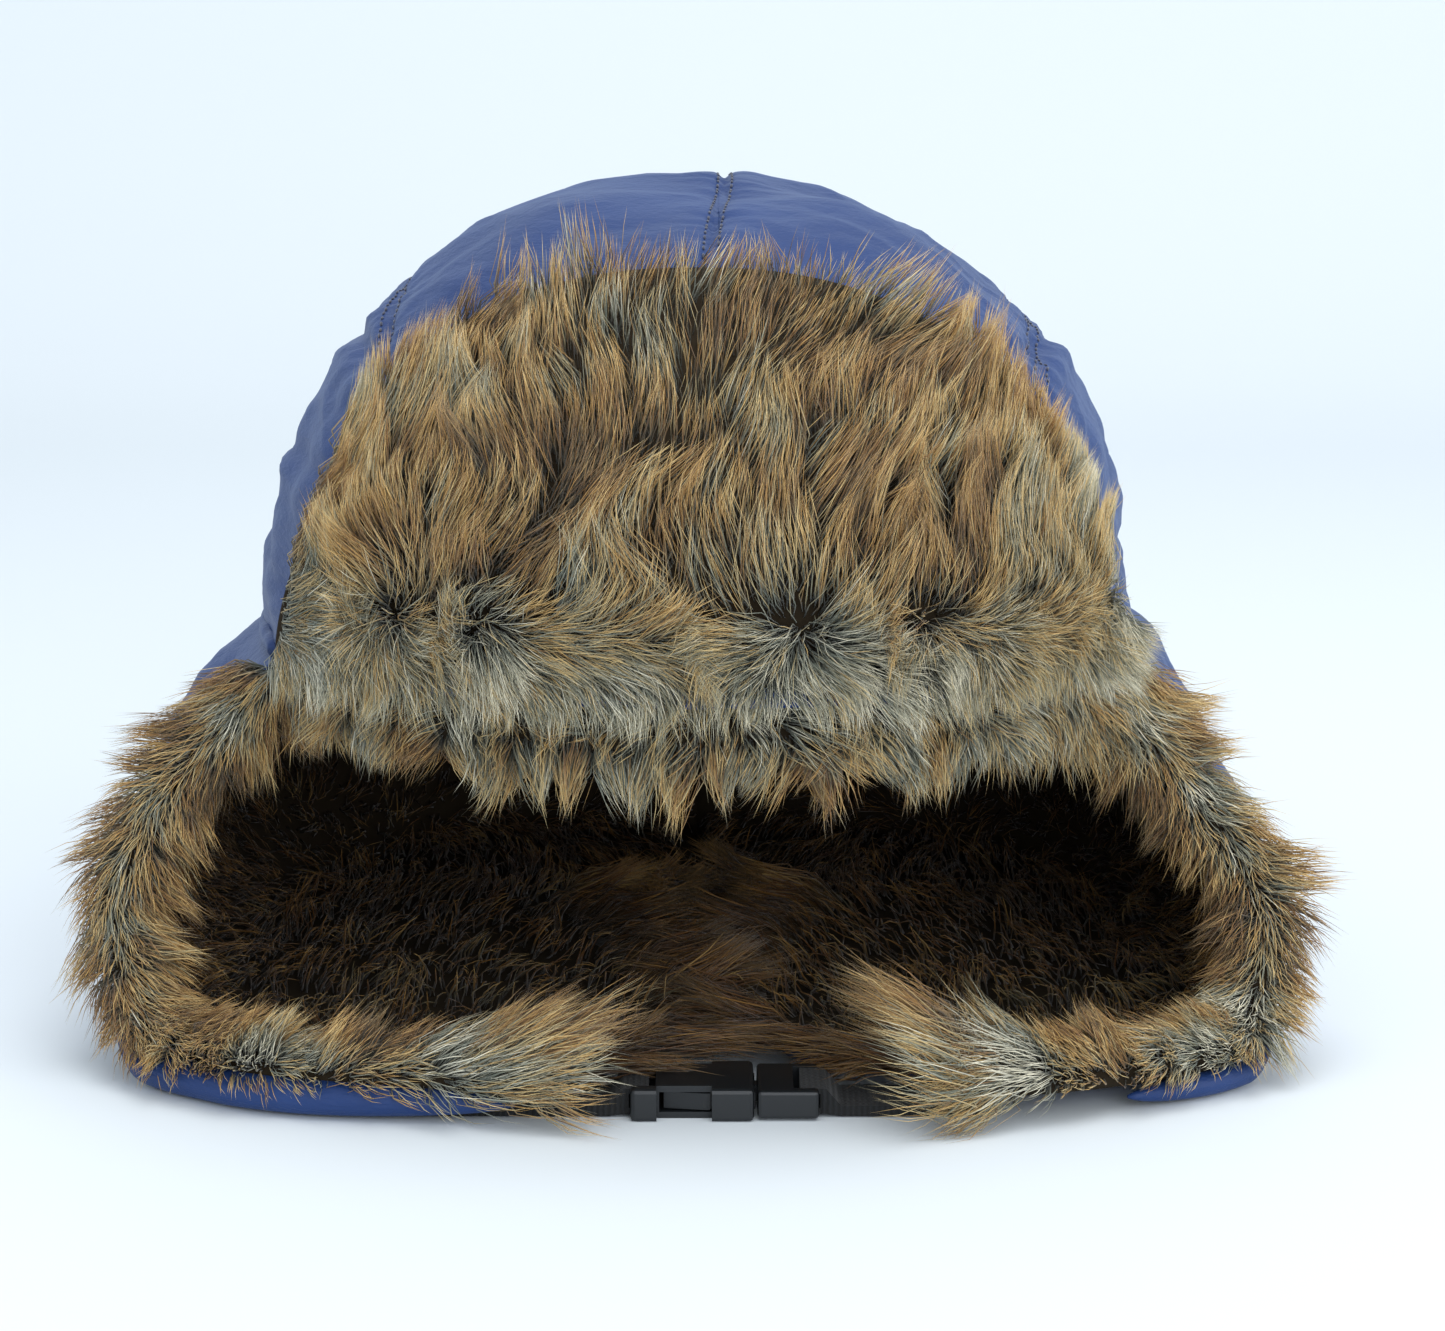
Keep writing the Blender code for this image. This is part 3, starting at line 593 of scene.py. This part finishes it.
# The nylon shell turns under at the foot of each ear flap, in a soft roll that lies on the table.
HEM_RADIUS = {-1: 4.2 * MM, 1: 2.8 * MM}
HEM_END_X = {-1: 0.036, 1: 0.092}
for side, label in SIDES.items():
    radius = HEM_RADIUS[side]
    low_path = trim_frames[side][0]
    low_path = low_path[(low_path[:, 2] < 0.020) & (np.abs(low_path[:, 0]) > HEM_END_X[side])]
    hem_path = low_path + unit(low_path - np.array([0, -0.02, 0])) * [3.5 * MM, 3.5 * MM, 0]
    hem_path[:, 2] = radius + 0.4 * MM + np.maximum(low_path[:, 2] - 0.0095, 0) * 0.8
    hem, *_ = roll(f"ear_flap_hem_{label}", hem_path, radius, nylon, sides=18,
                   taper_length=22 * MM)
    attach(hem, f"{label}_ear")


# ---- Crown lining and wadding ----------------------------------------------------------------
# Fur lines the crown, over polyester wadding that the nylon and the lining hide. Both follow
# the crown's shape, each a little smaller than the last.

# Polyester wadding: white, airy and matt.
wadding, _ = new_material("polyester_wadding", Base_Color=linear("#d9d9d4"), Roughness=1.0)

LAYER_AROUND, LAYER_UP = 120, 40
LAYERS = [("crown_wadding", 6.4 * MM, 4.8 * MM, wadding, "wadding", "padding"),
          ("crown_fur_backing", 9.0 * MM, 6.9 * MM, ground, "faux_fur", "lining")]
turn, rise = np.meshgrid(np.linspace(0, 2 * math.pi, LAYER_AROUND, endpoint=False),
                         np.linspace(0, 0.99, LAYER_UP))
for name, far_inset, near_inset, material, finish, nodes in LAYERS:
    bm = bmesh.new()
    rings = []
    for inset in (near_inset, far_inset):
        points = crown_surface(turn, rise, inset).reshape(-1, 3)
        points[:, 2] += 0.3 * MM
        verts = [bm.verts.new(p) for p in points]
        tip = bm.verts.new((0, CROWN_Y, RIM_Z + CROWN_HEIGHT - inset))
        for face in grid_faces(LAYER_UP, LAYER_AROUND, closed=True):
            bm.faces.new([verts[k] for k in face])
        highest = verts[-LAYER_AROUND:]
        for j in range(LAYER_AROUND):
            bm.faces.new((highest[j], highest[(j + 1) % LAYER_AROUND], tip))
        rings.append(verts[:LAYER_AROUND])
    for j in range(LAYER_AROUND):
        k = (j + 1) % LAYER_AROUND
        bm.faces.new((rings[0][j], rings[0][k], rings[1][k], rings[1][j]))
    bmesh.ops.recalc_face_normals(bm, faces=bm.faces)
    mesh = bpy.data.meshes.new(name)
    bm.to_mesh(mesh)
    bm.free()
    mesh.materials.append(material)
    mesh.shade_smooth()
    layer = bpy.data.objects.new(name, mesh)
    bpy.context.scene.collection.objects.link(layer)
    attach(layer, "hat")
    places = ("side_left", "top_left", "top_right", "side_right")
    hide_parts(*[f"crown_{nodes}_{place}" for place in places])


# ---- Faux fur pile ---------------------------------------------------------------------------
# Acrylic pile, 12 to 34 mm long: dark brown, golden and cream guard hair over a grey undercoat.
# Each strand is a thin tapered sliver rooted in the backing. It bends with what it grows on.
PILE_FRONT_Y = -0.150               # holds the foremost tips inside the object's box
TABLE_CLEARANCE = 0.4 * MM          # holds the lowest tips over the table


def hair_mesh(name, root, first, last, length, width, tone, material, sway=0.0, seed=0):
    """Slivers that leave root along first and bend towards last, given as rows of unit vectors."""
    rng = np.random.default_rng(seed)
    count = len(root)
    shares = np.array([0.0, 0.38, 0.72, 1.0])
    wave = rng.normal(size=(count, 3)) * sway
    side = unit(np.cross(first, rng.normal(size=(count, 3))))
    other = unit(np.cross(first, side))
    rings = []
    for share, thick in zip(shares[:3], (1.0, 0.85, 0.5)):
        bend = share * share / 2
        middle = root + length[:, None] * (first * (share - bend) + last * bend)
        middle = middle + wave * (length * math.sin(share * 5.0))[:, None]
        for corner in range(3):
            angle = corner * 2 * math.pi / 3
            out = side * math.cos(angle) + other * math.sin(angle)
            rings.append(middle + out * (width * thick / 2)[:, None])
    tip = root + length[:, None] * (first + last) / 2 + wave * (length * math.sin(5.0))[:, None]
    points = np.stack(rings + [tip], axis=1).reshape(-1, 3)
    points[:, 1] = np.maximum(points[:, 1], PILE_FRONT_Y)
    points[:, 2] = np.maximum(points[:, 2], TABLE_CLEARANCE)
    shape = [[2, 1, 0]]
    for ring in (0, 3):
        for k in range(3):
            n = (k + 1) % 3
            shape.append([ring + k, ring + n, ring + 3 + n, ring + 3 + k])
    shape += [[6 + k, 6 + (k + 1) % 3, 9] for k in range(3)]
    sizes = np.tile([len(f) for f in shape], count)
    corners = (np.concatenate(shape)[None] + 10 * np.arange(count)[:, None]).reshape(-1)
    mesh = bpy.data.meshes.new(name)
    mesh.vertices.add(len(points))
    mesh.vertices.foreach_set("co", points.astype(np.float32).reshape(-1))
    mesh.loops.add(len(corners))
    mesh.loops.foreach_set("vertex_index", corners.astype(np.int32))
    mesh.polygons.add(len(sizes))
    mesh.polygons.foreach_set("loop_start", (np.cumsum(sizes) - sizes).astype(np.int32))
    mesh.update(calc_edges=True)
    mesh.shade_smooth()
    along = np.tile(np.repeat(shares, [3, 3, 3, 1]), count)
    for label, values in (("tone", np.repeat(tone, 10)), ("along", along)):
        mesh.attributes.new(label, "FLOAT", "POINT").data.foreach_set("value", values.astype(np.float32))
    mesh.materials.append(material)
    made = bpy.data.objects.new(name, mesh)
    bpy.context.scene.collection.objects.link(made)
    return made


def tufts(root, direction, size, seed, lean):
    """Leans the directions of neighbouring strands together, so that they end in shared points."""
    cells = np.floor(root / size + 0.35 * np.stack([waves(root, 3 * size, seed + k) for k in range(3)], 1))
    _, group = np.unique(cells.astype(int), axis=0, return_inverse=True)
    group = group.reshape(-1)
    number = np.bincount(group)
    centre = np.stack([np.bincount(group, root[:, k]) / number for k in range(3)], 1)
    turned = np.random.default_rng(seed).normal(size=(len(number), 3)) * lean
    return unit(direction + turned[group]), centre[group], group


def comb(name, root, outward, flow, length, seed, material, lie=0.72, tuft=7 * MM, pull=0.5,
         width=0.42 * MM, tone=None, scatter=0.16, lean=0.28):
    """Pile that leaves the backing along outward and lies over along flow, gathered in tufts."""
    rng = np.random.default_rng(seed)
    flow, centre, group = tufts(root, unit(flow), tuft, seed, lean)
    first = unit(outward + 0.55 * flow + rng.normal(size=root.shape) * scatter)
    last = unit((1 - lie) * outward + lie * flow * 1.4 + rng.normal(size=root.shape) * scatter)
    last = unit(last + pull * (centre - root) / tuft)
    size = length * rng.uniform(0.72, 1.12, len(root))
    size *= 1 + 0.12 * rng.normal(size=group.max() + 1)[group]
    if tone is None:
        tone = 0.5 + 0.16 * waves(root, 0.035, seed + 5) + 0.10 * waves(root, 0.014, seed + 6)
    tone = tone + 0.11 * rng.normal(size=group.max() + 1)[group] + 0.15 * rng.normal(size=len(root))
    wide = width * rng.uniform(0.6, 1.15, len(root))
    return hair_mesh(name, root, first, last, size, wide, np.clip(tone, 0, 1), material, 0.035, seed)


def fur_material(name, undercoat, painted_shade_tint):
    """Guard hair over undercoat. Tone 0 is dark brown, 0.5 golden, 0.75 grey green and 1 cream."""
    material, shader = new_material(name, Roughness=0.5, Specular_IOR_Level=0.3,
                                    Sheen_Weight=0.15, Sheen_Roughness=0.4)
    tone = node(material, "ShaderNodeAttribute", attribute_name="tone")
    along = node(material, "ShaderNodeAttribute", attribute_name="along")
    ramp = node(material, "ShaderNodeValToRGB", {"Fac": tone.outputs["Fac"]})
    stops = [(0.0, "#482d10"), (0.22, "#8a5a24"), (0.42, "#bf934c"), (0.60, "#dcc187"),
             (0.74, "#6d7469"), (0.9, "#96998a"), (1.0, "#ebe6d0")]
    for spot, (position, _) in enumerate(stops):
        stop = ramp.color_ramp.elements[spot] if spot < 2 else ramp.color_ramp.elements.new(position)
        stop.position = position
    for stop, (_, colour) in zip(ramp.color_ramp.elements, stops):
        stop.color = linear(colour)
    rise = node(material, "ShaderNodeMapRange", {"Value": along.outputs["Fac"], "From Min": 0.1,
                                                 "From Max": 0.75})
    mixed = node(material, "ShaderNodeMix", {"Factor": rise.outputs["Result"], "A": linear(undercoat),
                                             "B": ramp.outputs["Color"]}, data_type="RGBA")
    tips = node(material, "ShaderNodeMapRange", {"Value": along.outputs["Fac"], "From Min": 0.6,
                                                 "From Max": 1.0, "To Max": 0.34})
    mixed = node(material, "ShaderNodeMix", {"Factor": tips.outputs["Result"], "A": mixed.outputs["Result"],
                                             "B": linear("#ecd8a6")}, data_type="RGBA")
    # Painted shade: the colour is multiplied by a tint, white for the outer pile and darker for the pile
    # inside the hat.
    dim = node(material, "ShaderNodeMix", {"Factor": 1.0, "A": mixed.outputs["Result"],
                                           "B": linear(painted_shade_tint)}, data_type="RGBA", blend_type="MULTIPLY")
    material.node_tree.links.new(dim.outputs["Result"], shader.inputs["Base Color"])
    return material


# Acrylic pile: fibres with a soft sheen. Inside the hat it is the same pile, matted, with painted shade: a
# darker undercoat and a darkening tint for the shaded inside.
outer_fur = fur_material("acrylic_faux_fur", "#666b62", "#ffffff")
inner_fur = fur_material("acrylic_faux_fur_inside", "#5a4d38", "#b8ab93")


def falling(value, full, none):
    """A weight as a column: 1 where value is below full, 0 where it is past none."""
    return np.clip((none - value) / (none - full), 0, 1)[:, None]


# Front flap: combed up and a little to the right. Near the fold the pile lies level and tangled,
# and at the fold itself it droops.
rng = np.random.default_rng(70)
FRONT_PIECES = [("front_flap_hair_left", -1, 12000), ("front_flap_hair_right", 1, 12000),
                ("front_flap_fold_hair", 0, 10500)]
for name, half, count in FRONT_PIECES:
    if half:
        a = half * 0.985 * rng.uniform(0, 1, count) ** 0.85
        u = rng.uniform(0, 1, count) ** 1.05
    else:
        a = rng.uniform(-0.95, 0.985, count)
        u = rng.uniform(0, 13 * MM, count) / front_height(a)
    root = front_surface(a, u)
    outward = front_fan(root)
    root = root + outward * 2.4 * MM
    outward = unit(outward * [0.4, 1.0, 1.0])
    height = root[:, 2] - FRONT_ROOT_Z
    wide = root[:, 0] / FRONT_HALF_WIDTH
    sway = [waves(root, size, 71 + k) for k, size in enumerate((0.045, 0.030, 0.017, 0.015))]
    splay = np.where(wide > 0, 0.35, -0.45) * wide ** 3
    sideways = 0.10 + 0.12 * wide - 0.40 * wide ** 3 + 0.45 * sway[0] + 0.30 * u ** 2
    upward = np.stack([sideways, 0.25 * u - 0.1 + 0.1 * sway[1], 1 + 0 * u], 1)
    tangled = np.stack([0.55 + 0.85 * sway[1] + splay, -0.38 + 0 * u, 0.6 * sway[3]], 1)
    drooping = np.stack([0.35 * sway[2] + splay, -0.22 + 0 * u, -1.0 + 0 * u], 1)
    down = falling(height, 1 * MM, 7 * MM)
    up = 1 - falling(height, 8 * MM, 18 * MM)
    flow = unit(upward) * up + unit(drooping) * down + unit(tangled) * (1 - up) * (1 - down)
    fold = falling(height, 6 * MM, 20 * MM)[:, 0]
    tone = 0.40 + 0.15 * waves(root * [1, 1, 0.6], 0.042, 75)
    tone += 0.16 * waves(root * [1, 1, 0.3], 0.012, 76)
    tone = tone * (1 - fold) + (0.80 + 0.12 * sway[2]) * fold
    length = 27 * MM * (1 - 0.38 * fold) * (1 - (0.46 - 0.14 * sway[1]) * u * (1 - fold))
    hair = comb(name, root, outward, flow, length, 77 + half, outer_fur, tone=tone, tuft=11 * MM,
                pull=0.5, lie=0.88, width=0.31 * MM, scatter=0.10, lean=0.18)
    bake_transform(hair)

# Brow: hair leaves the fold all round and droops over the face opening in points.
count = 11000
path, first, second, _ = brow_frame
at = rng.uniform(0, len(path) - 1.001, count)
k = at.astype(int)
turn = rng.uniform(0, 2 * math.pi, count)
out = np.cos(turn)[:, None] * first[k] + np.sin(turn)[:, None] * second[k]
facing = np.clip(-out[:, 1] + 0.3, 0, 1)
root = path[k] + (path[k + 1] - path[k]) * (at - k)[:, None] + out * BROW_RADIUS * 0.62
wide = root[:, 0] / FRONT_HALF_WIDTH
sideways = 0.45 * waves(root, 0.018, 80) + np.where(wide > 0, 0.4, 0.1) * wide ** 3
flow = unit(out * 0.35 + np.stack([sideways, -0.18 - 0.12 * facing, -1.0 + 0.25 * out[:, 2]], 1))
tone = 0.56 + 0.18 * waves(root, 0.02, 81) + 0.20 * np.clip(out[:, 2], 0, 1)
length = (14.5 + 2.0 * wide + 3.5 * waves(root, 0.014, 79)) * MM
hair = comb("brow_hair", root, out, flow, length, 82, outer_fur, tone=tone, tuft=11 * MM, pull=1.25,
            lie=0.84)
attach(hair, "hat")

# Rolled front edges of the ear flaps: grey green along the roll, golden on both sides of it.
TIP_LENGTH = {-1: 27 * MM, 1: 34 * MM}   # at the chin tips the pile lies out over the straps
TIP_STRANDS = 900
for side, label in SIDES.items():
    count = 11000
    path, first, second, along = trim_frames[side]
    at = rng.uniform(0, len(path) - 1.001, count)
    at[:TIP_STRANDS] = rng.uniform(len(path) - 7.0, len(path) - 1.001, TIP_STRANDS)
    k = at.astype(int)
    turn = rng.uniform(0, 2 * math.pi, count)
    out = np.cos(turn)[:, None] * first[k] + np.sin(turn)[:, None] * second[k]
    low = falling(path[k][:, 2], 12 * MM, 22 * MM)
    # Over the turned hem the pile grows from the upper side of the roll only.
    out[:, 2] = np.where((low[:, 0] > 0.5) & (out[:, 2] < -0.35), -out[:, 2], out[:, 2])
    root = path[k] + (path[k + 1] - path[k]) * (at - k)[:, None] + out * TRIM_RADIUS * 0.6
    away = unit((root - np.array([0, -0.05, 0.052])) * [1, 0.3, 1])
    spread = (out * away).sum(1)[:, None]
    tip = 1 - falling(at, len(path) - 12, len(path) - 2)
    flow = unit(1.0 * along[k] + 0.60 * away * spread + 0.18 * out
                + 0.22 * np.stack([waves(root, 0.02, 83 + j) for j in range(3)], 1) * (1 - tip))
    flow[:, 2] += 0.12 * low[:, 0]
    flow = flow * (1 - tip) + unit(np.array([-side, 0.18, 0.04])) * tip
    facing = np.clip(-out[:, 1], 0, 1)
    band = np.exp(-((spread[:, 0] / 0.55) ** 2)) * facing
    tone = 0.36 + 0.46 * band + 0.15 * waves(root, 0.024, 86 + side)
    tone += 0.08 * waves(root, 0.009, 87 + side)
    length = (17.0 - 3.5 * facing - 3.0 * low[:, 0]) * MM
    length = length * (1 - tip[:, 0]) + TIP_LENGTH[side] * tip[:, 0]
    hair = comb(f"ear_flap_edge_hair_{label}", root, out, flow, length, 85 + side, outer_fur, tone=tone,
                tuft=8 * MM, pull=0.6, lie=0.82, width=0.40 * MM, lean=0.22)
    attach(hair, f"{label}_ear")

# Inside of the skirt: matted pile, combed forward and down. Its tone is painted shade: dark deep inside the
# hat, lighter towards its front edge and low at the front, where light reaches in.
for side, label in SIDES.items():
    points, normals = skirts[side]
    count = 8500
    i = (rng.uniform(0, 1, count) ** 1.3 * (points.shape[0] - 1.001)).astype(int)
    j = (rng.uniform(0.02, 0.995, count) * (points.shape[1] - 1.001)).astype(int)
    jitter = rng.uniform(0, 1, (count, 2))
    root = points[i, j] + (points[i + 1, j] - points[i, j]) * jitter[:, :1]
    root = root + (points[i, j + 1] - points[i, j]) * jitter[:, 1:]
    outward = -normals[i, j]
    root = root + outward * 2.6 * MM
    down = unit(points[i, np.minimum(j + 1, points.shape[1] - 1)] - points[i, j])
    ahead = unit(points[np.maximum(i - 1, 0), j] - points[np.maximum(i - 1, 0) + 1, j])
    flow = unit(0.8 * ahead + 0.6 * down)
    front = falling(i / points.shape[0], 0.05, 0.5)[:, 0]
    low = falling(root[:, 2], 8 * MM, 24 * MM)[:, 0] * falling(root[:, 1], -0.05, 0.0)[:, 0]
    # Painted shade: a low tone deep inside, raised towards the front edge and low at the front, where light
    # reaches in.
    tone = 0.14 + 0.20 * front + 0.22 * low + 0.16 * waves(root, 0.03, 88) + 0.12 * waves(root, 0.012, 89)
    hair = comb(f"skirt_inner_hair_{label}", root, outward, flow, np.full(count, 14 * MM), 90 + side,
                inner_fur, width=0.62 * MM, lie=0.8, tuft=9 * MM, tone=tone)
    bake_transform(hair)

# Fringe of the skirt's hem: long pile that lies on the table, pointing in. It reaches in over the table
# under the hat's shaded inside, and its dark tone is painted shade.
for side, label in SIDES.items():
    points, _ = skirts[side]
    count = 4000
    i = (rng.uniform(0.02, 1, count) * (points.shape[0] - 1.001)).astype(int)
    root = points[i, -1] + (points[i + 1, -1] - points[i, -1]) * rng.uniform(0, 1, (count, 1))
    inward = unit(points[i, -1] - points[i, -4])
    root = root - inward * rng.uniform(0, 5 * MM, (count, 1)) + [0, 0, 2.8 * MM]
    lift = np.tile([0.0, 0.0, 1.0], (count, 1))
    # Painted shade: a low, dark tone for the shaded inside of the hat.
    tone = 0.12 + 0.16 * waves(root, 0.03, 96) + 0.12 * waves(root, 0.012, 97)
    hair = comb(f"skirt_hem_hair_{label}", root, unit(inward + 0.5 * lift), inward - 0.05 * lift,
                np.full(count, 29 * MM), 98 + side, inner_fur, width=0.62 * MM, lie=0.85,
                tuft=9 * MM, tone=tone)
    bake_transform(hair)

# Inside of the crown: the same pile, seen only through the face opening. Its low, dark tone is painted shade
# of the hat's inside.
count = 4000
turn = rng.uniform(0, 2 * math.pi, count)
rise = np.arcsin(rng.uniform(0, 1, count)) / (math.pi / 2)
root = crown_surface(turn, rise, 9.2 * MM)
outward = -crown_normal(crown_surface(turn, rise, 0.0))
flow = unit(np.stack([-np.cos(turn), np.sin(turn), -0.6 * np.ones(count)], 1))
# Painted shade: a low, dark tone.
tone = 0.12 + 0.14 * waves(root, 0.03, 94)
hair = comb("crown_inner_hair", root, outward, flow, np.full(count, 13 * MM), 95, inner_fur,
            width=0.9 * MM, lie=0.8, tuft=10 * MM, tone=tone)
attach(hair, "hat")


# ---- Chin strap and buckle -------------------------------------------------------------------
# A side release buckle moulded in black acetal, on flat woven webbing. The webbing's tails are
# doubled over and sewn under the flaps.

# Moulded acetal: near black, a faint even grain from the mould, a soft satin shine.
acetal, shader = new_material("moulded_black_acetal", Base_Color=linear("#15181b"), Roughness=0.36,
                              Specular_IOR_Level=0.5)
place = node(acetal, "ShaderNodeTexCoord")
grain = node(acetal, "ShaderNodeTexNoise", {"Vector": place.outputs["Object"], "Scale": 2600.0,
                                            "Detail": 2.0})
bump = node(acetal, "ShaderNodeBump", {"Height": grain.outputs["Fac"], "Strength": 0.25,
                                       "Distance": 0.00008})
acetal.node_tree.links.new(bump.outputs["Normal"], shader.inputs["Normal"])

# Woven polypropylene webbing: ribs 1.3 mm apart across the strap, matt, with a slight sheen.
webbing, shader = new_material("woven_black_webbing", Base_Color=linear("#101113"), Roughness=0.85,
                               Sheen_Weight=0.08, Sheen_Roughness=0.5)
place = node(webbing, "ShaderNodeTexCoord")
ribs = node(webbing, "ShaderNodeTexWave", {"Vector": place.outputs["Object"], "Scale": 240.0,
                                           "Distortion": 1.2, "Detail": 1.0, "Detail Scale": 3.0},
            bands_direction="X")
tint = node(webbing, "ShaderNodeMix", {"Factor": ribs.outputs["Fac"], "A": linear("#050606"),
                                       "B": linear("#141618")}, data_type="RGBA")
webbing.node_tree.links.new(tint.outputs["Result"], shader.inputs["Base Color"])
bump = node(webbing, "ShaderNodeBump", {"Height": ribs.outputs["Fac"], "Strength": 0.8, "Distance": 0.0003})
webbing.node_tree.links.new(bump.outputs["Normal"], shader.inputs["Normal"])

for cad_node in ("buckle_female", "buckle_male", "prong_front", "prong_back"):
    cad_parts[cad_node].material_slots[0].material = acetal
for cad_node in ("chin_strap_left", "chin_strap_right"):
    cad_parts[cad_node].material_slots[0].material = webbing
